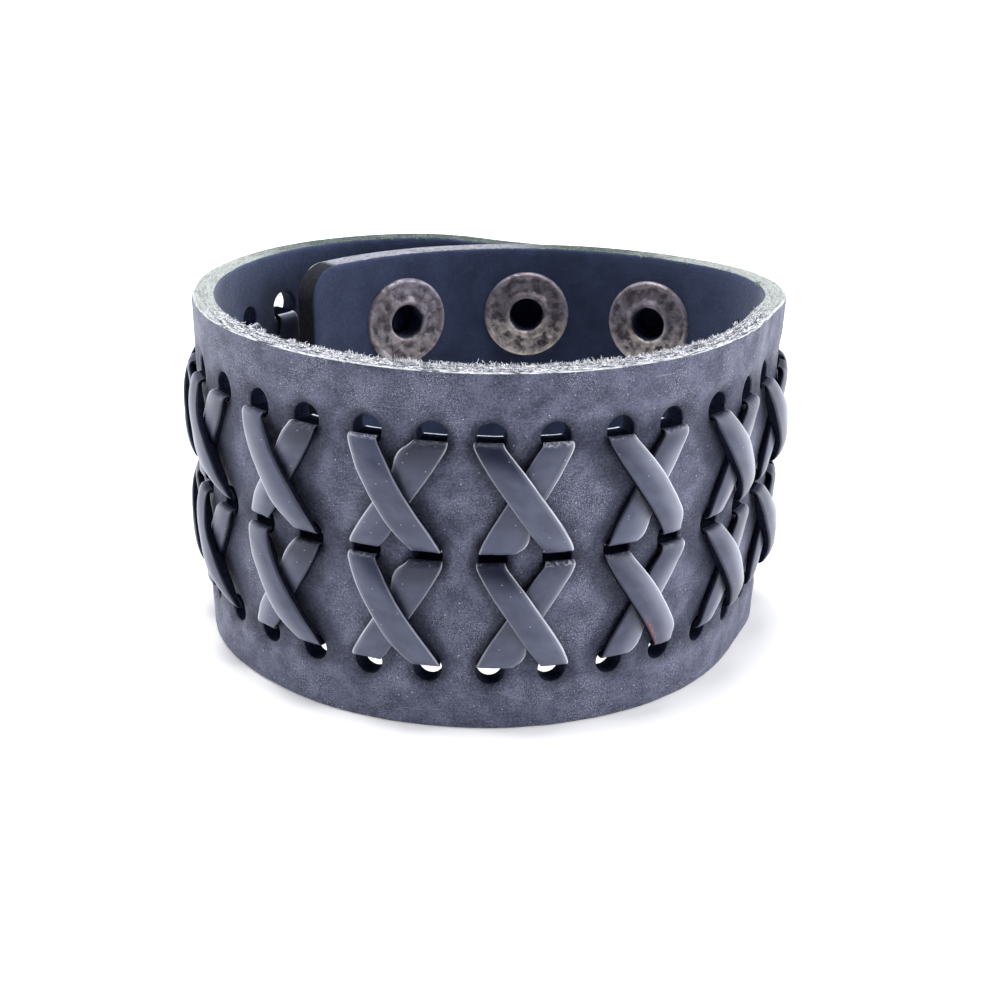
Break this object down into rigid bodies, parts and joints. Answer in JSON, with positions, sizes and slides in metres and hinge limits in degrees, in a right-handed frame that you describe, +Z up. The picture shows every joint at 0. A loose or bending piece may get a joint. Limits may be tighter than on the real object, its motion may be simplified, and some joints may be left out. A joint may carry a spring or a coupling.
{
  "type": "leather bracelet",
  "caption": "Wide leather cuff bracelet with crossed lacing in two rows, closed at the back by press snaps.",
  "frame": {"origin": "middle of the overall box at the strap's lower edge", "axes": "+Z up along the wrist's way through, +X across the front to the right as worn facing the viewer, front at -Y, closing at +Y"},
  "size_m": [0.071, 0.0605, 0.04],
  "materials": {
    "band_leather": "matt dark slate leather with raw pale cut edges",
    "lace_leather": "smooth satin lace leather",
    "snap_metal": "aged copper plating, mottled, low sheen"
  },
  "bodies": {
    "root": {"band": "band_leather", "upper_lace_over": "lace_leather", "upper_lace_under": "lace_leather", "lower_lace_over": "lace_leather", "lower_lace_under": "lace_leather", "top_eyelet_1": "snap_metal", "top_eyelet_2": "snap_metal", "top_eyelet_3": "snap_metal", "low_eyelet_1": "snap_metal", "low_eyelet_2": "snap_metal", "low_eyelet_3": "snap_metal", "top_stud_1": "snap_metal", "top_stud_2": "snap_metal", "top_stud_3": "snap_metal", "low_stud_1": "snap_metal", "low_stud_2": "snap_metal", "low_stud_3": "snap_metal", "top_socket": "snap_metal", "low_socket": "snap_metal", "top_cap": "snap_metal", "low_cap": "snap_metal"}
  },
  "joints": []
}
